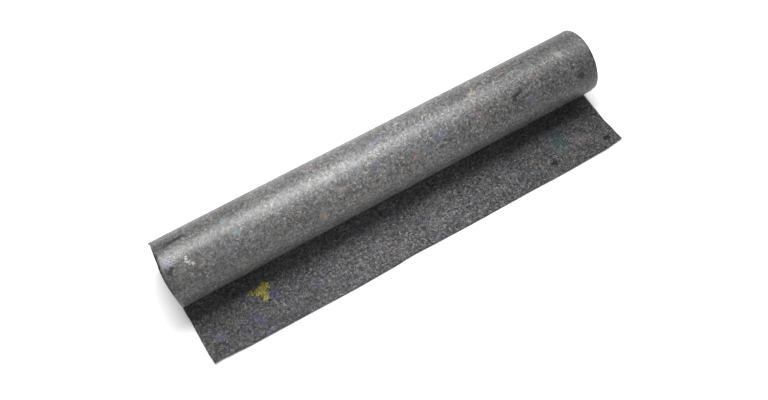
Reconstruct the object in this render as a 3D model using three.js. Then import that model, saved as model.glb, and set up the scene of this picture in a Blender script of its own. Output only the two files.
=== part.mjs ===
// A roll of protective fleece: a 1 m wide web of needled recycled fibres with a film on its outer face,
// wound on itself, with its loose end lying on the floor in front of the roll.
// Millimetres. X runs along the roll, Y towards its back, Z up. The floor is z = 0, and the origin lies on
// the flat spot under the roll, midway along it and below its axis.
import * as THREE from "three";

// The web
const WEB_WIDTH = 1000;
const WEB_THICKNESS = 1.7;
const HALF_WIDTH = WEB_WIDTH / 2;

// The wound part
const ROLL_RADIUS = 73.3;
const FLOOR_SAG = 1.0;
const LEAVE_Y = -10;
const LAYER_GAP = 0.3;

// Slack in the winding: slow waves in its radius, each so many to a turn and shifting along the roll
const SLACK_WAVES = [
  { height: 0.45, perTurn: 2, start: 0.6, wavelength: 1400 },
  { height: 0.3, perTurn: 3, start: 2.1, wavelength: 900 },
  { height: 0.15, perTurn: 7, start: 4.0, wavelength: 420 },
];

// Where the outermost turn's two edges run, against the web's nominal edges, by the angle wound up from the
// floor over the back. Positive is towards +X.
const TURN_EDGES = [
  { angle: 0, left: 0.5, right: 1.0 },
  { angle: 68, left: 2.5, right: 0.5 },
  { angle: 118, left: 4.2, right: -1.5 },
  { angle: 148, left: 4.8, right: 0.4 },
  { angle: 180, left: 3.5, right: 1.1 },
  { angle: 198, left: 0.8, right: 1.0 },
  { angle: 226, left: 0.0, right: 0.1 },
  { angle: 248, left: 1.0, right: -0.8 },
  { angle: 270, left: 3.0, right: -0.9 },
  { angle: 318, left: 2.4, right: -1.5 },
  { angle: 360, left: 0.6, right: 0.0 },
];

// A pulled corner of the outer turn on the left, behind the top
const TIP = { angle: 134, spread: 5, reach: 4 };
// On the right the outer turn stops short of the one under it, low on the front
const LIP = { angle: 284, spread: 24, depth: 9 };

// The turns inside, from the second one in to the eye: depth below the outer face as a share of the radius,
// and how far the wound edges stand out there
const END_RINGS = [
  { depth: 0.1, proud: 1.0 },
  { depth: 0.25, proud: 2.6 },
  { depth: 0.5, proud: 1.4 },
  { depth: 0.75, proud: 2.2 },
  { depth: 0.93, proud: 0.8 },
];
const SECOND_TURN_PROUD = 0.7;
const EYE_SINK = 2.5;

// The loose end: its front edge, as the distance in front of the roll's axis and the lift off the floor at
// places across the web
const FRONT_EDGE = [
  { x: -500, reach: 188.7, lift: 6.4 },
  { x: -484, reach: 187.7, lift: 6.0 },
  { x: -462, reach: 189.1, lift: 5.2 },
  { x: -420, reach: 191.1, lift: 4.2 },
  { x: -300, reach: 192.1, lift: 3.2 },
  { x: -180, reach: 193.5, lift: 2.8 },
  { x: -100, reach: 192.5, lift: 2.6 },
  { x: -38, reach: 189.9, lift: 3.0 },
  { x: 20, reach: 191.3, lift: 2.6 },
  { x: 110, reach: 192.3, lift: 2.4 },
  { x: 240, reach: 191.9, lift: 3.0 },
  { x: 340, reach: 192.7, lift: 3.6 },
  { x: 450, reach: 191.3, lift: 5.0 },
  { x: 500, reach: 186.9, lift: 6.0 },
];
const LIFT_START = 40;

// The loose end's side edges, against the web's nominal edges, by the distance in front of the axis
const SIDE_EDGES = [
  { distance: 0, left: 0.5, right: 1.0 },
  { distance: 60, left: 0.2, right: 1.4 },
  { distance: 90, left: 2.2, right: 1.6 },
  { distance: 125, left: 3.0, right: 1.7 },
  { distance: 155, left: 3.8, right: 4.6 },
  { distance: 194, left: 7.0, right: 7.6 },
];

// Facets
const TURN_STEPS = 72;
const LENGTH_STEPS = 20;
const LIP_STATION = 12;
const SHEET_STEPS_ACROSS = 56;
const SHEET_STEPS_OUT = 14;

const filmFace = new THREE.MeshStandardMaterial({ color: 0x84827f, roughness: 0.5, metalness: 0 });
const fleeceFace = new THREE.MeshStandardMaterial({ color: 0x55535a, roughness: 0.95, metalness: 0 });

// A smooth value between the rows of a table, by one of its columns
function between(rows, key, at, column) {
  let upper = rows.findIndex((row) => row[key] >= at);
  if (upper <= 0) upper = upper === 0 ? 1 : rows.length - 1;
  const low = rows[upper - 1];
  const high = rows[upper];
  const share = THREE.MathUtils.clamp((at - low[key]) / (high[key] - low[key]), 0, 1);
  return THREE.MathUtils.lerp(low[column], high[column], share * share * (3 - 2 * share));
}

function bump(angle, place) {
  return Math.exp(-(((angle - place.angle) / place.spread) ** 2) / 2);
}

// Radius of the outer face where the web has wound through an angle; the floor keeps it even at the bottom
function outerRadius(x, angle) {
  const offFloor = (1 - Math.cos(THREE.MathUtils.degToRad(angle))) / 2;
  const slack = SLACK_WAVES.reduce((sum, wave) => {
    const phase = wave.perTurn * THREE.MathUtils.degToRad(angle) + wave.start;
    return sum + wave.height * Math.sin(phase + (2 * Math.PI * x) / wave.wavelength);
  }, 0);
  return ROLL_RADIUS - (WEB_THICKNESS * angle) / 360 + slack * offFloor;
}

// A point of the winding, which is flattened where it lies on the floor and on its own loose end
function windingPoint(x, crossX, angle, inset) {
  const start = THREE.MathUtils.radToDeg(Math.asin(LEAVE_Y / ROLL_RADIUS));
  const turned = THREE.MathUtils.degToRad(angle + start);
  const radius = outerRadius(crossX, angle) - inset;
  const height = ROLL_RADIUS - FLOOR_SAG - radius * Math.cos(turned);
  const onLooseEnd = angle > 180;
  const floor = onLooseEnd ? WEB_THICKNESS + LAYER_GAP : 0;
  return new THREE.Vector3(x, radius * Math.sin(turned), Math.max(height, floor));
}

// One end of the winding, as rings from the outer face's edge to the eye
function endRings(side) {
  const column = side < 0 ? "left" : "right";
  const nominal = side * HALF_WIDTH;
  const edge = (angle) => nominal + between(TURN_EDGES, "angle", angle, column);
  const outerTurn = (angle) => {
    const pulled = side < 0 ? -TIP.reach * bump(angle, TIP) : -LIP.depth * bump(angle, LIP);
    return edge(angle) + pulled;
  };
  const rings = [
    { inset: 0, at: outerTurn },
    { inset: WEB_THICKNESS, at: outerTurn },
    { inset: WEB_THICKNESS + LAYER_GAP, at: (angle) => edge(angle) + side * SECOND_TURN_PROUD },
  ];
  for (const row of END_RINGS) {
    rings.push({
      inset: ROLL_RADIUS * row.depth,
      at: (angle) => THREE.MathUtils.lerp(edge(angle), nominal, row.depth) + side * row.proud,
    });
  }
  return rings.map(({ inset, at }) => turnOfPoints((angle) => windingPoint(at(angle), nominal, angle, inset)));
}

function turnOfPoints(pointAt) {
  return Array.from({ length: TURN_STEPS + 1 }, (_, step) => pointAt((360 * step) / TURN_STEPS));
}

// Rings of points joined into one closed body, with an eye point at each end
function closedFromRings(rings, firstEye, lastEye) {
  const around = rings[0].length;
  const points = rings.flat().concat([firstEye, lastEye]);
  const faces = [];
  for (let ring = 0; ring < rings.length - 1; ring += 1) {
    for (let step = 0; step < around; step += 1) {
      const next = (step + 1) % around;
      const a = ring * around + step;
      const b = ring * around + next;
      const c = (ring + 1) * around + next;
      const d = (ring + 1) * around + step;
      faces.push(a, b, d, b, c, d);
    }
  }
  const first = points.length - 2;
  const last = points.length - 1;
  const lastRing = (rings.length - 1) * around;
  for (let step = 0; step < around; step += 1) {
    const next = (step + 1) % around;
    faces.push(first, next, step);
    faces.push(last, lastRing + step, lastRing + next);
  }
  return bodyFrom(points, faces);
}

function bodyFrom(points, faces) {
  const geometry = new THREE.BufferGeometry();
  geometry.setAttribute("position", new THREE.Float32BufferAttribute(points.flatMap((p) => p.toArray()), 3));
  geometry.setIndex(faces);
  geometry.computeVertexNormals();
  return geometry;
}

function woundRoll() {
  const inner = HALF_WIDTH - LIP_STATION;
  const stations = Array.from({ length: LENGTH_STEPS + 1 }, (_, i) => inner * ((2 * i) / LENGTH_STEPS - 1));
  const middle = stations.map((x) => turnOfPoints((angle) => windingPoint(x, x, angle, 0)));
  const rings = [...endRings(-1).reverse(), ...middle, ...endRings(1)];
  return closedFromRings(rings, eyePoint(-1), eyePoint(1));
}

// The middle of one end, a little sunk
function eyePoint(side) {
  return new THREE.Vector3(side * (HALF_WIDTH - EYE_SINK), 0, ROLL_RADIUS - FLOOR_SAG);
}

// A point of the loose end, by shares of the way across the web and out to its front edge
function sheetPoint(across, out, top) {
  const nominalX = WEB_WIDTH * (across - 0.5);
  const reach = between(FRONT_EDGE, "x", nominalX, "reach");
  const distance = THREE.MathUtils.lerp(-LEAVE_Y + LAYER_GAP, reach, out);
  const left = -HALF_WIDTH + between(SIDE_EDGES, "distance", distance, "left");
  const right = HALF_WIDTH + between(SIDE_EDGES, "distance", distance, "right");
  const rise = THREE.MathUtils.clamp((distance - LIFT_START) / (reach - LIFT_START), 0, 1) ** 2;
  const lift = between(FRONT_EDGE, "x", nominalX, "lift") * rise;
  const height = lift + (top ? WEB_THICKNESS : 0);
  return new THREE.Vector3(THREE.MathUtils.lerp(left, right, across), -distance, height);
}

function looseEnd() {
  const points = [];
  const faces = [];
  const perRow = SHEET_STEPS_ACROSS + 1;
  const rows = SHEET_STEPS_OUT + 1;
  for (const top of [false, true]) {
    for (let row = 0; row < rows; row += 1) {
      for (let step = 0; step < perRow; step += 1) {
        points.push(sheetPoint(step / SHEET_STEPS_ACROSS, row / SHEET_STEPS_OUT, top));
      }
    }
  }
  const under = (row, step) => row * perRow + step;
  const over = (row, step) => rows * perRow + under(row, step);
  for (let row = 0; row < SHEET_STEPS_OUT; row += 1) {
    for (let step = 0; step < SHEET_STEPS_ACROSS; step += 1) {
      faces.push(under(row, step), under(row, step + 1), under(row + 1, step + 1));
      faces.push(under(row, step), under(row + 1, step + 1), under(row + 1, step));
      faces.push(over(row, step), over(row + 1, step + 1), over(row, step + 1));
      faces.push(over(row, step), over(row + 1, step), over(row + 1, step + 1));
    }
  }
  const rim = [];
  for (let step = 0; step < SHEET_STEPS_ACROSS; step += 1) rim.push([0, step]);
  for (let row = 0; row < SHEET_STEPS_OUT; row += 1) rim.push([row, SHEET_STEPS_ACROSS]);
  for (let step = SHEET_STEPS_ACROSS; step > 0; step -= 1) rim.push([SHEET_STEPS_OUT, step]);
  for (let row = SHEET_STEPS_OUT; row > 0; row -= 1) rim.push([row, 0]);
  rim.forEach((corner, place) => {
    const after = rim[(place + 1) % rim.length];
    faces.push(under(...corner), over(...after), under(...after));
    faces.push(under(...corner), over(...corner), over(...after));
  });
  return bodyFrom(points, faces);
}

function named(name, geometry, material) {
  const mesh = new THREE.Mesh(geometry, material);
  mesh.name = name;
  return mesh;
}

const roll = new THREE.Group();
roll.name = "roll_of_protective_fleece";
roll.add(named("wound_roll", woundRoll(), filmFace));
roll.add(named("loose_end", looseEnd(), fleeceFace));

export default roll;
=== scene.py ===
# %% [markdown]
# # A roll of protective fleece
# Painters lay this fleece on floors. It is a thick felt, needled out of shredded old textiles, with a thin
# film welded to one face. This lesson rebuilds one roll of it: a web 1 m wide and about 10 m long, wound on
# itself with the film outside, and a loose end that lies on the floor with its fibres up.
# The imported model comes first. It is the fixed frame, and every piece below is made in its metres.

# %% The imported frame
import math
import random

import bmesh
import bpy
from mathutils import Matrix, Vector, noise


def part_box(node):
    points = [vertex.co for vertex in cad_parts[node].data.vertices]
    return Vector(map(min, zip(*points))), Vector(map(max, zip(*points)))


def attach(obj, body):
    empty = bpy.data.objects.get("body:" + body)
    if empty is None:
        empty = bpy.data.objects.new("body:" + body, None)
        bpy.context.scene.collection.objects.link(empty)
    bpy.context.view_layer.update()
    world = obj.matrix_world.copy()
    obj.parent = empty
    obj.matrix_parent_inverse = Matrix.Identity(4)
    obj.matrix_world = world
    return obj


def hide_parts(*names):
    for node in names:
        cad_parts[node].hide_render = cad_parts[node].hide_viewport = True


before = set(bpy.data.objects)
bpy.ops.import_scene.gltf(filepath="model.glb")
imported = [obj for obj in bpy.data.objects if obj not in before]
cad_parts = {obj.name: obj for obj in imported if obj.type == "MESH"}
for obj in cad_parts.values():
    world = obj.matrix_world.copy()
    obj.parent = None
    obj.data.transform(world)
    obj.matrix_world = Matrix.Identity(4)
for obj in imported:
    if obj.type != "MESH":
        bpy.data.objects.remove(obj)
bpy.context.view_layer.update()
MM = 0.001
print("packed nodes:", sorted(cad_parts))

# %% [markdown]
# The camera looks down on the roll from its front left, where the left end shows almost edge on. Its lens is
# given in millimetres for Blender's usual 36 mm film, worked out for a picture 768 pixels wide.

# %% The camera
PICTURE_WIDTH = 768
FILM_WIDTH = 36
FOCAL_PIXELS = 862
CAMERA_PLACE = Vector((-0.418, -0.7195, 1.6855))
CAMERA_PITCH = 65.2
CAMERA_YAW = -30.36

camera_data = bpy.data.cameras.new("studio_camera")
camera_data.sensor_width = FILM_WIDTH
camera_data.lens = FOCAL_PIXELS / PICTURE_WIDTH * FILM_WIDTH
camera = bpy.data.objects.new("studio_camera", camera_data)
camera.location = CAMERA_PLACE
camera.rotation_euler = (math.radians(90 - CAMERA_PITCH), 0, math.radians(CAMERA_YAW))
bpy.context.scene.collection.objects.link(camera)
bpy.context.scene.camera = camera
bpy.context.scene.view_settings.view_transform = "Standard"
print("lens in mm:", round(camera_data.lens, 1))

# %% [markdown]
# ## The web's path
# One web makes the whole thing, so one function can say where any point of it lies. A point is named by its
# place across the web and its distance along the web from the front edge. The first stretch lies on the
# floor. Then the web turns up the back of the roll, over the top and down the front, and each turn brings it
# one thickness nearer to the eye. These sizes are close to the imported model's, and the turns stand a tenth of
# a millimetre apart.
# The web is made as two pieces. The outer one holds the loose end and a little more than one turn, up to the
# split angle, in degrees wound up from the floor.

# %% Sizes of the web
roll_low, roll_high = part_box("wound_roll")
WEB_WIDTH = 1.0
HALF_WIDTH = WEB_WIDTH / 2
WEB_PITCH = 1.7 * MM
WEB_THICKNESS = 1.6 * MM
ROLL_RADIUS = 73.3 * MM
FLOOR_SAG = 1.0 * MM
REACH = 190.5 * MM
LIFT_START = 40 * MM
EYE_RADIUS = 4 * MM
SPLIT_ANGLE = 372
print("the packed roll's height in mm:", round((roll_high.z - roll_low.z) / MM, 1))

# %% [markdown]
# The edges are as uneven as on the real roll. Short tables say how far each edge of the web strays, in
# millimetres: along the front edge, along the two side edges of the loose end, and round the outer turn. The
# turns below stand a little proud of it, by how deep they lie, and each of them wobbles by its own amount.

# %% Tables of the edges
FRONT_EDGE = [
    {"x": -500, "reach": 187.5, "lift": 3.4},
    {"x": -484, "reach": 186.5, "lift": 3.0},
    {"x": -462, "reach": 187.9, "lift": 2.4},
    {"x": -420, "reach": 189.9, "lift": 1.6},
    {"x": -300, "reach": 190.9, "lift": 0.8},
    {"x": -180, "reach": 192.3, "lift": 0.5},
    {"x": -100, "reach": 191.3, "lift": 0.3},
    {"x": -38, "reach": 188.7, "lift": 0.6},
    {"x": 20, "reach": 190.1, "lift": 0.3},
    {"x": 110, "reach": 191.1, "lift": 0.2},
    {"x": 240, "reach": 190.7, "lift": 0.6},
    {"x": 340, "reach": 191.5, "lift": 1.1},
    {"x": 450, "reach": 190.1, "lift": 2.2},
    {"x": 500, "reach": 185.7, "lift": 3.0},
]
SIDE_EDGES = [
    {"distance": 0, "left": 0.5, "right": 1.0},
    {"distance": 60, "left": 0.2, "right": 1.4},
    {"distance": 90, "left": 2.2, "right": 1.6},
    {"distance": 125, "left": 3.0, "right": 1.7},
    {"distance": 155, "left": 3.8, "right": 4.6},
    {"distance": 194, "left": 7.0, "right": 7.6},
]
TURN_EDGES = [
    {"angle": 0, "left": 0.5, "right": 1.0},
    {"angle": 60, "left": 2.5, "right": 1.5},
    {"angle": 110, "left": 4.2, "right": 1.2},
    {"angle": 140, "left": 4.8, "right": 3.0},
    {"angle": 172, "left": 3.5, "right": 3.6},
    {"angle": 190, "left": 0.8, "right": 3.6},
    {"angle": 218, "left": 0.0, "right": 3.0},
    {"angle": 240, "left": 1.0, "right": 2.4},
    {"angle": 262, "left": 3.0, "right": 2.6},
    {"angle": 310, "left": 2.4, "right": 5.2},
    {"angle": 336, "left": 1.4, "right": 7.0},
    {"angle": 360, "left": 0.6, "right": 3.4},
]
PROUD_BY_DEPTH = [
    {"depth": 0.0, "left": 0.7, "right": 2.0},
    {"depth": 0.1, "left": 1.0, "right": 2.4},
    {"depth": 0.25, "left": 2.6, "right": 3.0},
    {"depth": 0.5, "left": 1.4, "right": 1.4},
    {"depth": 0.75, "left": 2.2, "right": 2.2},
    {"depth": 1.0, "left": 0.0, "right": 0.0},
]
SLACK_WAVES = [
    {"height": 0.45, "per_turn": 2, "start": 0.6, "wavelength": 1400},
    {"height": 0.3, "per_turn": 3, "start": 2.1, "wavelength": 900},
    {"height": 0.15, "per_turn": 7, "start": 4.0, "wavelength": 420},
]
TIP = {"angle": 126, "spread": 5, "reach": 4}
LIP = {"angle": 276, "spread": 24, "depth": 9}
CORNER_REACH = 30 * MM


def between(rows, key, at, column):
    """A smooth value between the rows of a table."""
    upper = next((i for i, row in enumerate(rows) if row[key] >= at), len(rows) - 1)
    upper = max(upper, 1)
    low, high = rows[upper - 1], rows[upper]
    share = min(max((at - low[key]) / (high[key] - low[key]), 0.0), 1.0)
    share = share * share * (3 - 2 * share)
    return low[column] + (high[column] - low[column]) * share


def bump(angle, place):
    """1 at a place round the turn, and less away from it, as a bell curve."""
    return math.exp(-(((angle - place["angle"]) / place["spread"]) ** 2) / 2)


print("front edge, lowest lift in mm:", min(row["lift"] for row in FRONT_EDGE))

# %% [markdown]
# ## From the web to the room
# `place` is the whole winding in one function. On the floor the web is a gentle sheet whose corners curl up.
# On the roll it is a spiral, flattened where it rests on the floor or on the turns below. The small relief is
# what makes felt look soft: dents of 6 and of 2.4 centimetres, and shallow ones of about a centimetre.

# %% Where each point of the web lies
RELIEF = [
    {"width": 60 * MM, "height": 0.6 * MM},
    {"width": 24 * MM, "height": 0.75 * MM},
    {"width": 9 * MM, "height": 0.16 * MM},
]
RELIEF_STEP = 7.3
FULL_TURN = 360
FADE_FROM_OUTER = 45
FADE_TO_PROUD = 30
WOBBLE = {"height": 1.1, "angle": 150, "left_row": 3.1, "right_row": 9.7}


def relief(across, along):
    """The height of the felt's dents at a point of the web."""
    total = 0.0
    for i, wave in enumerate(RELIEF):
        at = Vector((across / wave["width"], along / wave["width"], RELIEF_STEP * i))
        total += wave["height"] * (0.5 + 0.5 * noise.noise(at))
    return total


def turned(along):
    """Degrees wound up, for a distance along the web."""
    wound = max(along - REACH, 0.0)
    root = math.sqrt(max(ROLL_RADIUS**2 - WEB_PITCH * wound / math.pi, 0.0))
    return math.degrees((ROLL_RADIUS - root) * 2 * math.pi / WEB_PITCH)


def along_at(angle):
    """Distance along the web, for degrees wound up."""
    turn = math.radians(angle)
    return REACH + ROLL_RADIUS * turn - WEB_PITCH * turn**2 / (4 * math.pi)


def edges_on_roll(angle):
    """How far the web's left and right edges stray at an angle wound up, in metres."""
    if angle <= FULL_TURN:
        left = between(TURN_EDGES, "angle", angle, "left")
        right = between(TURN_EDGES, "angle", angle, "right")
        return left * MM, right * MM
    depth = min(WEB_PITCH * angle / FULL_TURN / ROLL_RADIUS, 1.0)
    last = TURN_EDGES[-1]
    under = angle % FULL_TURN
    share = min(under / FADE_FROM_OUTER, 1.0)
    settled = min((angle - FULL_TURN) / FADE_TO_PROUD, 1.0)
    strays = []
    for side, outward in (("left", -1), ("right", 1)):
        outer = between(TURN_EDGES, "angle", under, side) * share + last[side] * (1 - share)
        proud = between(PROUD_BY_DEPTH, "depth", depth, side) * settled
        at = Vector((angle / WOBBLE["angle"], WOBBLE[side + "_row"], 0))
        wobble = WOBBLE["height"] * noise.noise(at) * settled
        strays.append((outer * (1 - depth) + outward * proud + wobble) * MM)
    return strays


def corner_pull(across, angle):
    """The pulled tip on the left and the short outer turn on the right, which fade away from the edges."""
    if angle > FULL_TURN:
        return 0.0
    left = max(0.0, 1 - (across + HALF_WIDTH) / CORNER_REACH)
    right = max(0.0, 1 - (HALF_WIDTH - across) / CORNER_REACH)
    return (-TIP["reach"] * bump(angle, TIP) * left**2 - LIP["depth"] * bump(angle, LIP) * right**2) * MM


def on_floor(across, along, out):
    """A point of the loose end."""
    nominal = across / MM
    reach = between(FRONT_EDGE, "x", nominal, "reach") * MM
    distance = reach * (1 - along / REACH)
    left = -HALF_WIDTH + between(SIDE_EDGES, "distance", distance / MM, "left") * MM
    right = HALF_WIDTH + between(SIDE_EDGES, "distance", distance / MM, "right") * MM
    rise = min(max((distance - LIFT_START) / (reach - LIFT_START), 0.0), 1.0)
    lift = between(FRONT_EDGE, "x", nominal, "lift") * MM * rise**2
    lift += relief(across, along) * min(max((distance - LIFT_START) / LIFT_START, 0.0), 1.0)
    x = left + (right - left) * (across + HALF_WIDTH) / WEB_WIDTH
    return Vector((x, -distance, lift - out))


def on_roll(across, along, out):
    """A point of the winding. Slack and relief grow with its height, so the flat spot below stays flat."""
    angle = turned(along)
    turn = math.radians(angle)
    off_floor = (1 - math.cos(turn)) / 2
    slack = 0.0
    for wave in SLACK_WAVES:
        phase = wave["per_turn"] * turn + wave["start"] + 2 * math.pi * across / (wave["wavelength"] * MM)
        slack += wave["height"] * MM * math.sin(phase)
    share_of_radius = 1 - WEB_PITCH * angle / FULL_TURN / ROLL_RADIUS
    radius = (ROLL_RADIUS + slack * off_floor) * share_of_radius
    if angle < SPLIT_ANGLE:
        radius += relief(across, along) * off_floor
    radius += out
    centre = ROLL_RADIUS - FLOOR_SAG
    layers_below = math.floor((angle + FULL_TURN / 2) / FULL_TURN)
    height = max(centre - radius * math.cos(turn), layers_below * WEB_PITCH - out)
    left, right = edges_on_roll(angle)
    x = across + left + (right - left) * (across + HALF_WIDTH) / WEB_WIDTH + corner_pull(across, angle)
    return Vector((x, radius * math.sin(turn), height))


def place(across, along, out=0.0):
    """A point of the web's outer face, or a little out from it."""
    if along < REACH:
        return on_floor(across, along, out)
    return on_roll(across, along, out)


WHOLE_ANGLE = FULL_TURN * (ROLL_RADIUS - EYE_RADIUS) / WEB_PITCH
WEB_LENGTH = along_at(WHOLE_ANGLE)
print("the web in m:", round(WEB_LENGTH, 2), "and its turns:", round(WHOLE_ANGLE / FULL_TURN, 1))

# %% [markdown]
# ## Small helpers for materials
# Colours are written as the hex values that a colour picker shows, and one function turns them to the linear
# values that Cycles mixes. Another adds a node with its settings and links.

# %% Colour and node helpers


def tint(code):
    """An sRGB hex colour as linear values."""
    parts = [int(code[i : i + 2], 16) / 255 for i in (1, 3, 5)]
    linear = [p / 12.92 if p <= 0.04045 else ((p + 0.055) / 1.055) ** 2.4 for p in parts]
    return (*linear, 1.0)


def add(tree, kind, settings=None, links=None):
    """Adds a node. A setting names a property or a socket, and a link a socket, by its name or number."""
    node = tree.nodes.new(kind)
    for key, value in (settings or {}).items():
        if isinstance(key, str) and hasattr(node, key):
            setattr(node, key, value)
        else:
            node.inputs[key].default_value = value
    for key, source in (links or {}).items():
        tree.links.new(source, node.inputs[key])
    return node


def new_material(name):
    """A material, and its tree of nodes, still empty."""
    material = bpy.data.materials.new(name)
    material.use_nodes = True
    material.node_tree.nodes.clear()
    return material, material.node_tree


print("mid grey, linear:", round(tint("#808080")[0], 3))

# %% [markdown]
# ## Fibres
# Close up, recycled felt is a mat of short fibres that lie every way. A noise that is stretched one way looks
# like parallel fibres. To turn the fibres every way, a Voronoi pattern cuts the web into cells, and each cell
# turns the noise by its own angle. Sizes are in millimetres of web, so the fibres follow the cloth round the
# roll. A shift moves a pattern to another part of its noise, so that no two patterns repeat each other.


# %% Fibre pattern
SHIFT_ALONG = 1.7


def web_coordinates(tree):
    """The web's own flat coordinates, in millimetres."""
    source = add(tree, "ShaderNodeUVMap", {"uv_map": "web"})
    settings = {"operation": "SCALE", "Scale": 1 / MM}
    return add(tree, "ShaderNodeVectorMath", settings, {0: source.outputs[0]}).outputs[0]


def cloud(tree, coordinates, width, detail=3.0, shift=0.0):
    """Soft noise whose blobs are about so many millimetres wide."""
    offset = {"operation": "ADD", 1: (shift, shift * SHIFT_ALONG, 0)}
    moved = add(tree, "ShaderNodeVectorMath", offset, {0: coordinates})
    settings = {"noise_dimensions": "2D", "Scale": 1 / width, "Detail": detail, "Roughness": 0.6}
    return add(tree, "ShaderNodeTexNoise", settings, {"Vector": moved.outputs[0]}).outputs["Fac"]


def cut(tree, value, low, high):
    """A mask: 0 below low, 1 above high, soft between."""
    settings = {"interpolation_type": "SMOOTHSTEP", "From Min": low, "From Max": high}
    return add(tree, "ShaderNodeMapRange", settings, {"Value": value}).outputs["Result"]


def fibres(tree, coordinates, cell, length, width, shift, low, high):
    """A mask of short fibres, and a number for each cell. A fibre is about length by width in mm."""
    offset = {"operation": "ADD", 1: (shift, -shift, 0)}
    moved = add(tree, "ShaderNodeVectorMath", offset, {0: coordinates}).outputs[0]
    warp = add(tree, "ShaderNodeTexNoise", {"noise_dimensions": "2D", "Scale": 1 / cell}, {"Vector": moved})
    bent = add(
        tree,
        "ShaderNodeVectorMath",
        {"operation": "MULTIPLY_ADD", 1: (cell, cell, 0)},
        {0: warp.outputs["Color"], 2: moved},
    )
    cells = add(
        tree,
        "ShaderNodeTexVoronoi",
        {"voronoi_dimensions": "2D", "Scale": 1 / cell},
        {"Vector": bent.outputs[0]},
    )
    channels = add(tree, "ShaderNodeSeparateColor", links={"Color": cells.outputs["Color"]})
    angle = add(tree, "ShaderNodeMath", {"operation": "MULTIPLY", 1: 2 * math.pi}, {0: channels.outputs[0]})
    turned_to = add(
        tree,
        "ShaderNodeVectorRotate",
        {"rotation_type": "Z_AXIS"},
        {"Vector": moved, "Angle": angle.outputs[0]},
    )
    stretched = add(
        tree,
        "ShaderNodeVectorMath",
        {"operation": "MULTIPLY", 1: (1 / length, 1 / width, 0)},
        {0: turned_to.outputs[0]},
    )
    lines = add(
        tree,
        "ShaderNodeTexNoise",
        {"noise_dimensions": "2D", "Scale": 1.0, "Detail": 1.0},
        {"Vector": stretched.outputs[0]},
    )
    return cut(tree, lines.outputs["Fac"], low, high), channels.outputs[1]


def over(tree, mask, below, above, strength=1.0):
    """Lays one colour over another where the mask is."""
    weight = mask
    if strength != 1.0:
        weight = add(tree, "ShaderNodeMath", {"operation": "MULTIPLY", 1: strength}, {0: mask}).outputs[0]
    node = add(tree, "ShaderNodeMix", {"data_type": "RGBA"})
    tree.links.new(weight, node.inputs[0])
    for socket, colour in ((node.inputs[6], below), (node.inputs[7], above)):
        if isinstance(colour, str):
            socket.default_value = tint(colour)
        else:
            tree.links.new(colour, socket)
    return node.outputs[2]


def ramp(tree, value, stops, stepped=False):
    """A colour ramp from (place, hex colour) stops."""
    node = add(tree, "ShaderNodeValToRGB", links={"Fac": value})
    node.color_ramp.interpolation = "CONSTANT" if stepped else "LINEAR"
    while len(node.color_ramp.elements) < len(stops):
        node.color_ramp.elements.new(0.5)
    for element, (at, colour) in zip(node.color_ramp.elements, stops):
        element.position = at
        element.color = tint(colour)
    return node.outputs["Color"]


print("fibre helpers ready")

# %% [markdown]
# ## The felt's colour
# The fleece is made of shredded clothes, so it is grey only from afar. Dark and light fibres make its salt
# and pepper, clouds of blue and brown come from the batches of rags, and now and then a thread keeps its
# colour. Each cloud lies under the same fine grain, so it looks like many coloured fibres and not like paint.
# Real fibres are some hundredths of a millimetre wide, too fine to show, so they are drawn 1.5 to 2.2 mm
# wide, as the clumps that the eye sees. A layer's shape gives its cells, its fibres' length and their width.
# The tables are in the order in which the layers lie. Towards the left the mat is better mixed, so there a last
# thin layer of the middle grey calms its contrast. Over everything lies a painted shade across the width:
# lighter left of the middle, darker towards the ends and most at the right, where the top light falls off.

# %% Felt colour
THREAD_COLOURS = [
    (0.0, "#7d5254"),
    (0.10, "#565c78"),
    (0.34, "#68666f"),
    (0.52, "#8a7862"),
    (0.60, "#5c7c7c"),
    (0.68, "#cfccc3"),
    (0.94, "#6c6270"),
]
CLOUDS = [
    {"width": 46, "shift": 83, "low": 0.50, "high": 0.66, "colour": "#494b53", "strength": 0.45},
    {"width": 34, "shift": 131, "low": 0.53, "high": 0.68, "colour": "#5a5450", "strength": 0.4},
    {"width": 22, "shift": 211, "low": 0.60, "high": 0.72, "colour": "#4c4d66", "strength": 0.5},
    {"width": 28, "shift": 307, "low": 0.60, "high": 0.72, "colour": "#47595a", "strength": 0.45},
]
PATCHES = [
    {"width": 38, "shift": 51, "low": 0.44, "high": 0.66, "shade": "light", "strength": 0.14},
    {"width": 9, "shift": 17, "low": 0.54, "high": 0.68, "shade": "dark", "strength": 0.7},
    {"width": 5.5, "shift": 61, "low": 0.60, "high": 0.66, "shade": "dark", "strength": 0.85},
]
FIBRE_LAYERS = [
    {"shape": (12, 11, 2.2), "shift": 23, "cut": (0.58, 0.66), "shade": "dark", "strength": 0.8},
    {"shape": (11, 14, 1.5), "shift": 67, "cut": (0.63, 0.71), "shade": "light", "strength": 0.6},
    {"shape": (10, 12, 1.6), "shift": 97, "cut": (0.68, 0.74), "shade": "thread", "strength": 0.6},
]
CLOUD_DETAIL = 4.0
GRAIN_WIDTH = 6.5
GRAIN_DETAIL = 5.0
GRAIN_STOPS = [(0.30, "dark"), (0.45, "middle"), (0.56, "middle"), (0.74, "light")]
# Painted shade across the width, as multipliers from the left end to the right. It stands for the top light
# falling off towards the ends, most at the right. A noise wanders its edge.
PAINTED_SHADE_ACROSS = [
    (0.0, "#dcdcdc"),
    (0.14, "#e3e3e3"),
    (0.36, "#ffffff"),
    (0.58, "#fbfbfb"),
    (0.80, "#d6d6d6"),
    (1.0, "#c4c4c4"),
]
PAINTED_SHADE_FROM = -560.0
PAINTED_SHADE_TO = 440.0
PAINTED_SHADE_WANDER = {"width": 90, "detail": 2.0, "shift": 401, "strength": -0.12}
CALM_FROM = -100.0
CALM_TO = 260.0
CALM_STRENGTH = 0.16


def place_across(tree, coordinates):
    """Millimetres across the web, from its middle."""
    return add(tree, "ShaderNodeSeparateXYZ", links={0: coordinates}).outputs[0]


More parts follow.
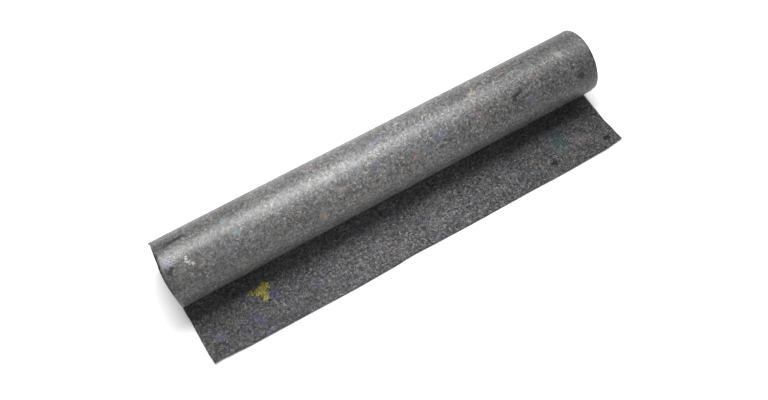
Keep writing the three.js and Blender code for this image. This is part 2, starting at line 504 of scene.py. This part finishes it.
def painted_shade_across_width(tree, coordinates):
    """Painted shade across the width: lighter left of the middle, darker towards the ends and most at the
    right, where the top light falls off.
    """
    x = place_across(tree, coordinates)
    span = {"From Min": PAINTED_SHADE_FROM, "From Max": PAINTED_SHADE_TO}
    share = add(tree, "ShaderNodeMapRange", span, {"Value": x}).outputs["Result"]
    wander = cloud(tree, coordinates, PAINTED_SHADE_WANDER["width"], PAINTED_SHADE_WANDER["detail"], PAINTED_SHADE_WANDER["shift"])
    settings = {"operation": "MULTIPLY_ADD", 1: PAINTED_SHADE_WANDER["strength"]}
    moved = add(tree, "ShaderNodeMath", settings, {0: wander, 2: share}).outputs[0]
    return ramp(tree, moved, PAINTED_SHADE_ACROSS)


def felt_colour(tree, coordinates, dark, middle, light):
    """The mat of fibres as a colour, and its fine height pattern."""
    shades = {"dark": dark, "middle": middle, "light": light}
    grain = cloud(tree, coordinates, GRAIN_WIDTH, GRAIN_DETAIL)
    base = ramp(tree, grain, [(at, shades[shade]) for at, shade in GRAIN_STOPS])
    for batch in CLOUDS:
        fog = cloud(tree, coordinates, batch["width"], CLOUD_DETAIL, batch["shift"])
        mask = cut(tree, fog, batch["low"], batch["high"])
        base = over(tree, mask, base, batch["colour"], batch["strength"])
    for patch in PATCHES:
        spots = cloud(tree, coordinates, patch["width"], shift=patch["shift"])
        mask = cut(tree, spots, patch["low"], patch["high"])
        base = over(tree, mask, base, shades[patch["shade"]], patch["strength"])
    for layer in FIBRE_LAYERS:
        mask, pick = fibres(tree, coordinates, *layer["shape"], layer["shift"], *layer["cut"])
        if layer["shade"] == "thread":
            colour = ramp(tree, pick, THREAD_COLOURS, stepped=True)
        else:
            colour = shades[layer["shade"]]
        base = over(tree, mask, base, colour, layer["strength"])
    calm = cut(tree, place_across(tree, coordinates), CALM_TO, CALM_FROM)
    base = over(tree, calm, base, middle, CALM_STRENGTH)
    # Multiplies the painted shade across the width into the colour.
    shaded = add(tree, "ShaderNodeMix", {"data_type": "RGBA", "blend_type": "MULTIPLY", 0: 1.0})
    tree.links.new(base, shaded.inputs[6])
    tree.links.new(painted_shade_across_width(tree, coordinates), shaded.inputs[7])
    return shaded.outputs[2], grain


print("batches of rags:", len(CLOUDS))

# %% [markdown]
# Some rags were bright or dark enough to stay as blots. Some film blots are painted light as well: painted
# shade at the top left corner, partly painted shade at the right end, and a pale violet blot near the left end
# that is partly a painted highlight. The table marks them. Each blot is an oval at its own place on the web,
# and noise tears its edge. Most are speckled, because other fibres lie over them. A solid one hides the grain,
# and its edge is torn less. Places and sizes are in millimetres across and along the web, from the front edge.

# %% Blots
FILM_BLOTS_AND_PAINTED_LIGHT = [
    {"at": (-355, 406), "size": (15, 11), "turn": 30, "colour": "#78959a", "strength": 0.36, "solid": True},
    {"at": (-338, 440), "size": (17, 12), "turn": -20, "colour": "#6b8f95", "strength": 0.4, "solid": True},
    {"at": (-171, 493), "size": (15, 17), "turn": 20, "colour": "#a28562", "strength": 0.65},
    {"at": (-167, 478), "size": (18, 9), "turn": 0, "colour": "#6f949b", "strength": 0.5},
    {"at": (47, 470), "size": (13, 14), "turn": 40, "colour": "#985560", "strength": 0.6},
    {"at": (201, 448), "size": (15, 12), "turn": 0, "colour": "#9a6f8a", "strength": 0.6},
    {"at": (-38, 448), "size": (22, 18), "turn": 60, "colour": "#535472", "strength": 0.5},
    {"at": (-73, 442), "size": (50, 11), "turn": 35, "colour": "#647a82", "strength": 0.45},
    {"at": (-11, 401), "size": (40, 12), "turn": 10, "colour": "#8c8eae", "strength": 0.6},
    {"at": (115, 454), "size": (44, 18), "turn": 0, "colour": "#4d566e", "strength": 0.6},
    {"at": (80, 466), "size": (34, 14), "turn": 15, "colour": "#4c6066", "strength": 0.6},
    {"at": (-118, 461), "size": (26, 12), "turn": 0, "colour": "#a08c78", "strength": 0.5},
    {"at": (-71, 496), "size": (48, 14), "turn": 10, "colour": "#75605a", "strength": 0.5},
    {"at": (-363, 460), "size": (34, 20), "turn": 20, "colour": "#5a5c70", "strength": 0.45},
    {"at": (48, 384), "size": (5, 5), "turn": 0, "colour": "#f4f4f0", "strength": 1.0},
    {"at": (431, 417), "size": (15, 17), "turn": -30, "colour": "#a8a5a0", "strength": 0.3, "solid": True},
    {"at": (219, 404), "size": (20, 12), "turn": 20, "colour": "#b5a884", "strength": 0.6},
    {"at": (324, 402), "size": (16, 8), "turn": 0, "colour": "#7f9a8c", "strength": 0.5},
    {"at": (-150, 387), "size": (30, 10), "turn": 15, "colour": "#7b5a60", "strength": 0.5},
    {"at": (-335, 389), "size": (24, 9), "turn": 25, "colour": "#1c1c22", "strength": 0.8},
    {"at": (-308, 391), "size": (16, 8), "turn": 30, "colour": "#141417", "strength": 0.9},
    {"at": (-301, 449), "size": (9, 10), "turn": 0, "colour": "#141417", "strength": 0.9},
    # Painted shade at the top left corner: the dark blot stands for the shine that the curled-down edge loses
    # there, and the solid black line below it for the shade in a crease.
    {"at": (-482, 390), "size": (46, 40), "turn": 10, "colour": "#101014", "strength": 0.8},
    {"at": (-454, 391), "size": (52, 8), "turn": 7, "colour": "#08080a", "strength": 0.9, "solid": True},
    # Partly a pale violet blot and partly a painted highlight: it is lightened where the shine spreads at the
    # left end.
    {"at": (-480, 430), "size": (28, 22), "turn": 0, "colour": "#9494ae", "strength": 0.6},
    {"at": (-460, 420), "size": (40, 26), "turn": 0, "colour": "#8e8d8a", "strength": 0.5},
    {"at": (-484, 447), "size": (18, 14), "turn": 40, "colour": "#08080a", "strength": 0.9, "solid": True},
    {"at": (-492, 470), "size": (20, 60), "turn": 0, "colour": "#242426", "strength": 0.8},
    {"at": (-445, 446), "size": (8, 24), "turn": 35, "colour": "#cfccc4", "strength": 0.7},
    # Partly darker felt and partly painted shade: these broad grey blots darken the top of the right end, where
    # the top light falls off.
    {"at": (470, 500), "size": (50, 30), "turn": 10, "colour": "#303032", "strength": 0.6},
    {"at": (440, 360), "size": (110, 60), "turn": 0, "colour": "#3c3b3c", "strength": 0.6},
    {"at": (470, 410), "size": (60, 60), "turn": 0, "colour": "#444345", "strength": 0.5},
    {"at": (309, 452), "size": (24, 10), "turn": 20, "colour": "#0c0c0e", "strength": 0.85, "solid": True},
    {"at": (295, 458), "size": (12, 18), "turn": 0, "colour": "#0c0c0e", "strength": 0.8, "solid": True},
    {"at": (332, 479), "size": (20, 26), "turn": 0, "colour": "#535a74", "strength": 0.7},
    {"at": (307, 387), "size": (16, 10), "turn": 0, "colour": "#704448", "strength": 0.7},
    {"at": (355, 438), "size": (14, 12), "turn": 0, "colour": "#5c3034", "strength": 0.8},
    {"at": (387, 429), "size": (14, 10), "turn": 0, "colour": "#5e4238", "strength": 0.7},
    {"at": (460, 483), "size": (16, 14), "turn": 0, "colour": "#0c0c0e", "strength": 0.85, "solid": True},
    {"at": (474, 520), "size": (9, 34), "turn": 12, "colour": "#0c0c0e", "strength": 0.85, "solid": True},
]
FLEECE_BLOTS = [
    {"at": (-330, 76), "size": (24, 16), "turn": 30, "colour": "#5e618c", "strength": 0.5},
    {"at": (-376, 86), "size": (22, 14), "turn": 0, "colour": "#5b5d82", "strength": 0.45},
    {"at": (-380, 37), "size": (30, 16), "turn": 40, "colour": "#4e5280", "strength": 0.5},
    {"at": (-463, 42), "size": (26, 18), "turn": 0, "colour": "#50527c", "strength": 0.45},
    {"at": (-374, 6), "size": (24, 10), "turn": 0, "colour": "#7a759c", "strength": 0.5},
    {"at": (-242, 50), "size": (24, 18), "turn": 0, "colour": "#54587c", "strength": 0.4},
    {"at": (-474, 32), "size": (14, 10), "turn": 0, "colour": "#20301c", "strength": 0.7},
    {"at": (384, 72), "size": (30, 34), "turn": 20, "colour": "#2f5553", "strength": 0.75},
    {"at": (392, 98), "size": (24, 20), "turn": 0, "colour": "#3c5c5c", "strength": 0.55},
    {"at": (368, 96), "size": (24, 22), "turn": 0, "colour": "#4a5262", "strength": 0.6},
    {"at": (374, 48), "size": (28, 22), "turn": 0, "colour": "#41625f", "strength": 0.55},
    {"at": (338, 30), "size": (14, 11), "turn": 0, "colour": "#08080a", "strength": 0.9, "solid": True},
    {"at": (474, 21), "size": (18, 9), "turn": 20, "colour": "#08080a", "strength": 0.95, "solid": True},
    {"at": (420, 50), "size": (30, 30), "turn": 0, "colour": "#6a5b60", "strength": 0.4},
    {"at": (-351, 93), "size": (20, 15), "turn": 0, "colour": "#c8c140", "strength": 0.9},
    {"at": (-338, 99), "size": (20, 12), "turn": 25, "colour": "#ccc44a", "strength": 0.85},
    {"at": (-366, 98), "size": (22, 9), "turn": 0, "colour": "#b5ae46", "strength": 0.8},
    {"at": (-346, 80), "size": (14, 24), "turn": 10, "colour": "#c2bb42", "strength": 0.85},
]
BLOT_TEARS = {False: 22, True: 13}
TEAR_WIDTH = 7
BLOT_OUTSIDE = 1.25
BLOT_INSIDE = 0.65
SPECKLE = {"width": 2.6, "shift": 41, "low": 0.42, "high": 0.56}


def blots(tree, coordinates, base, rows):
    """Lays the blots of a table over a colour. The noise is 0.5 on average, which the centres allow for."""
    edge_noise = add(
        tree,
        "ShaderNodeTexNoise",
        {"noise_dimensions": "2D", "Scale": 1 / TEAR_WIDTH, "Detail": 4.0},
        {"Vector": coordinates},
    )
    torn = {}
    for solid, tear in BLOT_TEARS.items():
        torn[solid] = add(
            tree,
            "ShaderNodeVectorMath",
            {"operation": "MULTIPLY_ADD", 1: (tear, tear, 0)},
            {0: edge_noise.outputs["Color"], 2: coordinates},
        )
    specks = cloud(tree, coordinates, SPECKLE["width"], shift=SPECKLE["shift"])
    speckle = cut(tree, specks, SPECKLE["low"], SPECKLE["high"])
    for row in rows:
        solid = row.get("solid", False)
        centre = Vector((row["at"][0], row["at"][1], 0)) + Vector((1, 1, 0)) * BLOT_TEARS[solid] / 2
        from_centre = add(
            tree,
            "ShaderNodeVectorRotate",
            {"rotation_type": "Z_AXIS", "Center": centre, "Angle": math.radians(row["turn"])},
            {"Vector": torn[solid].outputs[0]},
        )
        moved = add(
            tree,
            "ShaderNodeVectorMath",
            {"operation": "SUBTRACT", 1: centre},
            {0: from_centre.outputs[0]},
        )
        shares = {"operation": "MULTIPLY", 1: (2 / row["size"][0], 2 / row["size"][1], 0)}
        scaled = add(tree, "ShaderNodeVectorMath", shares, {0: moved.outputs[0]})
        distance = add(tree, "ShaderNodeVectorMath", {"operation": "LENGTH"}, {0: scaled.outputs[0]})
        mask = cut(tree, distance.outputs["Value"], BLOT_OUTSIDE, BLOT_INSIDE)
        if not solid:
            mask = add(tree, "ShaderNodeMath", {"operation": "MULTIPLY"}, {0: mask, 1: speckle}).outputs[0]
        base = over(tree, mask, base, row["colour"], row["strength"])
    return base


print("blots on the film side:", len(FILM_BLOTS_AND_PAINTED_LIGHT), "and on the fleece side:", len(FLEECE_BLOTS))

# %% [markdown]
# ## Three surfaces of one web
# The outer face is polyethylene film, a few hundredths of a millimetre thick, welded to the felt: it is
# smooth but follows the fibres, so it shines in broad, broken patches. The inner face is bare needled fleece
# and has no shine. The cut edge shows the mat from the side. Each face has its own dark, middle and light
# grey.

# %% Film, fleece and cut edge
FILM_GREYS = ("#1c1c1d", "#5e5d5c", "#acaba8")
FLEECE_GREYS = ("#161617", "#4a494b", "#969492")
FILM_ROUGHNESS = {"To Min": 0.32, "To Max": 0.60}
FILM_PATCHES = {"width": 9, "shift": 7}
EDGE_GRAIN = {"Scale": 900.0, "Detail": 3.0}
EDGE_GREYS = [(0.3, "#1f1e20"), (0.52, "#444247"), (0.72, "#8b8888")]


def finished(material, settings, colour, height, strength, depth, roughness=None):
    """Gives a material its shader and a fine relief, so many metres deep."""
    tree = material.node_tree
    relief_map = add(tree, "ShaderNodeBump", {"Strength": strength, "Distance": depth}, {"Height": height})
    links = {"Base Color": colour, "Normal": relief_map.outputs[0]}
    if roughness:
        links["Roughness"] = roughness
    shader = add(tree, "ShaderNodeBsdfPrincipled", settings, links)
    add(tree, "ShaderNodeOutputMaterial", links={"Surface": shader.outputs[0]})
    return material


def film_laminated_fleece():
    # Clear polyethylene film over grey mixed fibres: an IOR of 1.5 and a middling roughness give a sheen.
    material, tree = new_material("film_laminated_fleece")
    coordinates = web_coordinates(tree)
    colour, grain = felt_colour(tree, coordinates, *FILM_GREYS)
    colour = blots(tree, coordinates, colour, FILM_BLOTS_AND_PAINTED_LIGHT)
    patches = cloud(tree, coordinates, FILM_PATCHES["width"], shift=FILM_PATCHES["shift"])
    roughness = add(tree, "ShaderNodeMapRange", FILM_ROUGHNESS, {"Value": patches}).outputs[0]
    settings = {"IOR": 1.5, "Specular IOR Level": 0.7}
    return finished(material, settings, colour, grain, strength=0.5, depth=0.35 * MM, roughness=roughness)


def bare_needled_fleece():
    # Polyester, cotton and wool fibres, needled: fully matt, with a faint fuzz that lights up at the rim.
    material, tree = new_material("bare_needled_fleece")
    coordinates = web_coordinates(tree)
    colour, grain = felt_colour(tree, coordinates, *FLEECE_GREYS)
    colour = blots(tree, coordinates, colour, FLEECE_BLOTS)
    settings = {"Roughness": 0.95, "Specular IOR Level": 0.2, "Sheen Weight": 0.15, "Sheen Roughness": 0.6}
    return finished(material, settings, colour, grain, strength=0.8, depth=0.8 * MM)


def cut_fleece_edge():
    # The mat from the side, where the knife crossed it: darker, with pale fibre ends in clumps of 1.1 mm.
    material, tree = new_material("cut_fleece_edge")
    coordinates = add(tree, "ShaderNodeTexCoord").outputs["Object"]
    grain = add(tree, "ShaderNodeTexNoise", EDGE_GRAIN, {"Vector": coordinates}).outputs["Fac"]
    colour = ramp(tree, grain, EDGE_GREYS)
    settings = {"Roughness": 0.95, "Specular IOR Level": 0.2}
    return finished(material, settings, colour, grain, strength=0.8, depth=0.5 * MM)


WEB_MATERIALS = [film_laminated_fleece(), bare_needled_fleece(), cut_fleece_edge()]
print("materials:", [m.name for m in WEB_MATERIALS])

# %% [markdown]
# ## The web as a mesh
# A flat grid at the size the web is cut to comes first. Its flat coordinates are kept as its UV map, in
# metres, and then each point moves to its place in the roll. A Solidify modifier gives the thickness, and
# puts the fleece on the inner side and the cut edge on the rim. The outer turn and the loose end need a fine
# grid. The turns below show only their edges, so their grid is coarse across the web.


# %% Web pieces
def web_piece(name, rows, columns, along_of):
    """A piece of the web. along_of gives the distance along the web for a share of the piece's rows."""
    bm = bmesh.new()
    bmesh.ops.create_grid(bm, x_segments=columns, y_segments=rows, size=0.5)
    for vert in bm.verts:
        vert.co = Vector((vert.co.x * WEB_WIDTH, along_of(vert.co.y + 0.5), 0))
    web = bm.loops.layers.uv.new("web")
    for face in bm.faces:
        face.smooth = True
        for loop in face.loops:
            loop[web].uv = loop.vert.co.xy
    for vert in bm.verts:
        vert.co = place(vert.co.x, vert.co.y)
    bmesh.ops.reverse_faces(bm, faces=bm.faces)
    mesh = bpy.data.meshes.new(name)
    bm.to_mesh(mesh)
    bm.free()
    piece = bpy.data.objects.new(name, mesh)
    bpy.context.scene.collection.objects.link(piece)
    for material in WEB_MATERIALS:
        mesh.materials.append(material)
    thickness = piece.modifiers.new("thickness", "SOLIDIFY")
    thickness.thickness = WEB_THICKNESS
    thickness.offset = -1
    thickness.use_even_offset = False
    thickness.material_offset = 1
    thickness.material_offset_rim = 2
    return piece


OUTER_ROWS = 170
OUTER_COLUMNS = 200
INNER_COLUMNS = 12
GAP_ANGLE = 0.3
ANGLE_STEP = 7.5
OUTER_LENGTH = along_at(SPLIT_ANGLE)
INNER_START = SPLIT_ANGLE + GAP_ANGLE
INNER_ROWS = round((WHOLE_ANGLE - INNER_START) / ANGLE_STEP)


def along_outer(share):
    return share * OUTER_LENGTH


def along_inner(share):
    return along_at(INNER_START + share * (WHOLE_ANGLE - INNER_START))


outer_turn = web_piece("outer_turn_and_loose_end", OUTER_ROWS, OUTER_COLUMNS, along_outer)
inner_turns = web_piece("inner_turns", INNER_ROWS, INNER_COLUMNS, along_inner)

# %% [markdown]
# ## Loose fibres
# Bare fleece sheds: ends of yarn, neps and small tufts stand on it. Each is a ball of 20 faces, stretched
# to a fibre and laid on the fleece. One tuft of yellow wool has three arms. Short hairs also stick out of the
# two cut edges, all round the roll's ends.

# %% Loose fibres
FIBRE_COLOURS = [
    ("pale_polyester_fibre", "#a9a6a0"),
    ("black_wool_fibre", "#0c0c0e"),
    ("grey_cotton_fibre", "#55545a"),
    ("blue_cotton_fibre", "#474c7c"),
    ("rust_acrylic_fibre", "#7d4a38"),
    ("yellow_wool_fibre", "#b9b02c"),
    ("teal_cotton_fibre", "#2c5350"),
]
PALE, BLACK, GREY, BLUE, RUST, YELLOW, TEAL = range(len(FIBRE_COLOURS))
SCATTERED_COLOURS = [PALE, PALE, PALE, BLACK, BLACK, BLACK, GREY, GREY, BLUE, RUST]
TUFTS = [
    {"at": (-338, 99), "size": (12, 7), "turn": 25, "count": 46, "colour": YELLOW},
    {"at": (-366, 98), "size": (13, 6), "turn": 0, "count": 40, "colour": YELLOW},
    {"at": (-346, 80), "size": (8, 13), "turn": 10, "count": 46, "colour": YELLOW},
    {"at": (-351, 94), "size": (11, 9), "turn": 0, "count": 30, "colour": YELLOW},
    {"at": (384, 72), "size": (16, 20), "turn": 20, "count": 60, "colour": TEAL},
    {"at": (474, 21), "size": (9, 4), "turn": 20, "count": 50, "colour": BLACK},
    {"at": (338, 30), "size": (6, 5), "turn": 0, "count": 30, "colour": BLACK},
    {"at": (-474, 32), "size": (6, 4), "turn": 0, "count": 20, "colour": BLACK},
    {"at": (-330, 76), "size": (12, 8), "turn": 30, "count": 30, "colour": BLUE},
    {"at": (-380, 37), "size": (14, 8), "turn": 40, "count": 30, "colour": BLUE},
]
THREADS = [
    {"at": (-212, 88), "length": 12, "turn": 70, "colour": PALE},
    {"at": (44, 92), "length": 11, "turn": 20, "colour": RUST},
    {"at": (52, 86), "length": 9, "turn": -50, "colour": PALE},
    {"at": (0, 85), "length": 5, "turn": 0, "colour": PALE},
    {"at": (-288, 74), "length": 4, "turn": 0, "colour": PALE},
    {"at": (392, 22), "length": 16, "turn": -35, "colour": PALE},
]
FIBRE_LIFT = (0.1, 0.5)
FIBRE_WIDTH = (0.35, 0.8)
FIBRE_TILT = (-0.1, 0.25)
FIBRE_STEP = 1.5 * MM
DYE_NOISE = {"Scale": 700.0, "Detail": 2.0}
DYE_FROM = 0.35
DYE_TO = 0.65
DYE_DARK = "#1a1a1b"


def fibre_material(name, code):
    # A fibre end that stands free of the mat: matt, with a little sheen, and unevenly dyed every 1.4 mm.
    material, tree = new_material(name)
    coordinates = add(tree, "ShaderNodeTexCoord").outputs["Object"]
    dye = add(tree, "ShaderNodeTexNoise", DYE_NOISE, {"Vector": coordinates}).outputs["Fac"]
    colour = over(tree, cut(tree, dye, DYE_FROM, DYE_TO), DYE_DARK, code)
    values = {"Roughness": 0.9, "Sheen Weight": 0.2, "Specular IOR Level": 0.2}
    shader = add(tree, "ShaderNodeBsdfPrincipled", values, {"Base Color": colour})
    add(tree, "ShaderNodeOutputMaterial", links={"Surface": shader.outputs[0]})
    return material


ball = bmesh.new()
bmesh.ops.create_icosphere(ball, subdivisions=1, radius=1)
ball.verts.index_update()
BALL_POINTS = [vert.co.copy() for vert in ball.verts]
BALL_FACES = [[vert.index for vert in face.verts] for face in ball.faces]
ball.free()


def fibre(bm, centre, direction, across, length, width, colour):
    """One fibre: its middle, its direction, another direction beside it, and its size in metres."""
    direction = direction.normalized()
    beside = (across - across.project(direction)).normalized()
    axes = Matrix((direction, beside, direction.cross(beside))).transposed().to_4x4()
    size = Matrix.Diagonal((length / 2, width / 2, width / 2, 1))
    to_place = Matrix.Translation(centre) @ axes @ size
    verts = [bm.verts.new(to_place @ point) for point in BALL_POINTS]
    for corners in BALL_FACES:
        face = bm.faces.new([verts[i] for i in corners])
        face.material_index = colour
        face.smooth = True


def lay_fibre(bm, dice, x, along, turn, length, colour):
    """Lays a fibre on the bare fleece, turned by so many degrees in the web."""
    out = -(WEB_THICKNESS + dice.uniform(*FIBRE_LIFT) * MM)
    here = place(x * MM, along * MM, out)
    to_side = place(x * MM + FIBRE_STEP, along * MM, out) - here
    to_roll = place(x * MM, along * MM + FIBRE_STEP, out) - here
    angle = math.radians(turn)
    direction = to_side * math.cos(angle) + to_roll * math.sin(angle)
    direction.z += FIBRE_STEP * dice.uniform(*FIBRE_TILT)
    width = dice.uniform(*FIBRE_WIDTH) * MM
    fibre(bm, here, direction, to_side.cross(to_roll), length * MM, width, colour)


print("faces of one fibre:", len(BALL_FACES))

# %% [markdown]
# Seeded dice scatter the fibres, so every run gives the same ones. The tufts and threads have their places.
# The fibres of the two cut edges are thickest on the outer turns, where they show.

# %% Tufts, threads, scattered fibres and edge hairs
TUFT_SPREAD = 0.5
TUFT_LENGTH = (2.5, 6)
SCATTERED = {"count": 1500, "across": (-490, 490), "along": (4, 185), "length": (1.2, 5)}
EDGE_HAIRS = {
    "count": 500,
    "depth": (0.1, 0.9),
    "outward": (0.5, 1.0),
    "slant": (-0.8, 0.8),
    "length": (1.0, 3.2),
    "width": 0.3 * MM,
    "upright": Vector((0, 0.3, 1)),
}
EDGE_START = 0.005
EDGE_END = 5 * MM

dice = random.Random(41)
bm = bmesh.new()
for tuft in TUFTS:
    turn = math.radians(tuft["turn"])
    for _ in range(tuft["count"]):
        u = dice.gauss(0, TUFT_SPREAD) * tuft["size"][0]
        v = dice.gauss(0, TUFT_SPREAD) * tuft["size"][1]
        x = tuft["at"][0] + u * math.cos(turn) - v * math.sin(turn)
        along = tuft["at"][1] + u * math.sin(turn) + v * math.cos(turn)
        lay_fibre(bm, dice, x, along, dice.uniform(0, 360), dice.uniform(*TUFT_LENGTH), tuft["colour"])
for thread in THREADS:
    lay_fibre(bm, dice, *thread["at"], thread["turn"], thread["length"], thread["colour"])
for _ in range(SCATTERED["count"]):
    x = dice.uniform(*SCATTERED["across"])
    along = dice.uniform(*SCATTERED["along"])
    turn = dice.uniform(0, 360)
    length = dice.uniform(*SCATTERED["length"])
    lay_fibre(bm, dice, x, along, turn, length, dice.choice(SCATTERED_COLOURS))
for side in (-1, 1):
    for _ in range(EDGE_HAIRS["count"]):
        along = dice.uniform(EDGE_START, 1.0) ** 2 * (WEB_LENGTH - EDGE_END)
        out = -dice.uniform(*EDGE_HAIRS["depth"]) * WEB_THICKNESS
        here = place(side * HALF_WIDTH, along, out)
        onward = place(side * HALF_WIDTH, along + MM, out) - here
        direction = Vector((side * dice.uniform(*EDGE_HAIRS["outward"]), 0, 0))
        direction += onward / MM * dice.uniform(*EDGE_HAIRS["slant"])
        length = dice.uniform(*EDGE_HAIRS["length"]) * MM
        colour = dice.choice(SCATTERED_COLOURS)
        fibre(bm, here, direction, EDGE_HAIRS["upright"], length, EDGE_HAIRS["width"], colour)
fibre_mesh = bpy.data.meshes.new("loose_fibres")
bm.to_mesh(fibre_mesh)
bm.free()
loose_fibres = bpy.data.objects.new("loose_fibres", fibre_mesh)
bpy.context.scene.collection.objects.link(loose_fibres)
for name, code in FIBRE_COLOURS:
    fibre_mesh.materials.append(fibre_material(name, code))
print("faces of loose fibre:", len(fibre_mesh.polygons))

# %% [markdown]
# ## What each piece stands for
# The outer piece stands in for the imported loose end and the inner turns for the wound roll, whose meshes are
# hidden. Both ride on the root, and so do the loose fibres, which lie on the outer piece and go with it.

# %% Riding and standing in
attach(outer_turn, "root")
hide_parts("loose_end")
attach(inner_turns, "root")
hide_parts("wound_roll")
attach(loose_fibres, "root")

# %% [markdown]
# ## The studio
# A white floor, a pale sky all round, and a large soft light above and behind the roll. That light makes the
# long band of shine near the top of the roll and leaves the loose end in its shade. Two weak lights, one in
# front and one at the right end, lift the shade a little.

# %% Floor and light
FLOOR_SIZE = 12.0
SKY_STRENGTH = 0.36
LIGHTS = [
    {"name": "top_light", "at": (0.15, 1.0, 2.7), "aim": (0, 0, 0.1), "size": (1.8, 1.4), "watts": 116},
    {"name": "front_fill", "at": (-1.1, -1.3, 1.5), "aim": (0, 0, 0.05), "size": (1.2, 1.2), "watts": 7},
    {"name": "side_fill", "at": (1.7, 0.5, 1.4), "aim": (0.4, 0, 0.05), "size": (1.0, 1.0), "watts": 6},
]

bm = bmesh.new()
bmesh.ops.create_grid(bm, x_segments=1, y_segments=1, size=FLOOR_SIZE / 2)
floor_mesh = bpy.data.meshes.new("studio_floor")
bm.to_mesh(floor_mesh)
bm.free()
floor = bpy.data.objects.new("studio_floor", floor_mesh)
bpy.context.scene.collection.objects.link(floor)
floor_paint, floor_tree = new_material("white_floor_paint")
paint = {"Base Color": tint("#f4f4f4"), "Roughness": 0.9}
floor_shader = add(floor_tree, "ShaderNodeBsdfPrincipled", paint)
add(floor_tree, "ShaderNodeOutputMaterial", links={"Surface": floor_shader.outputs[0]})
floor_mesh.materials.append(floor_paint)

world = bpy.data.worlds.new("studio")
world.use_nodes = True
sky = world.node_tree.nodes["Background"]
sky.inputs["Color"].default_value = tint("#fbfbfb")
sky.inputs["Strength"].default_value = SKY_STRENGTH
bpy.context.scene.world = world

for row in LIGHTS:
    data = bpy.data.lights.new(row["name"], "AREA")
    data.shape = "RECTANGLE"
    data.size, data.size_y = row["size"]
    data.energy = row["watts"]
    light = bpy.data.objects.new(row["name"], data)
    light.location = row["at"]
    aim = Vector(row["aim"]) - Vector(row["at"])
    light.rotation_euler = aim.to_track_quat("-Z", "Y").to_euler()
    bpy.context.scene.collection.objects.link(light)
print("lights:", [row["name"] for row in LIGHTS])
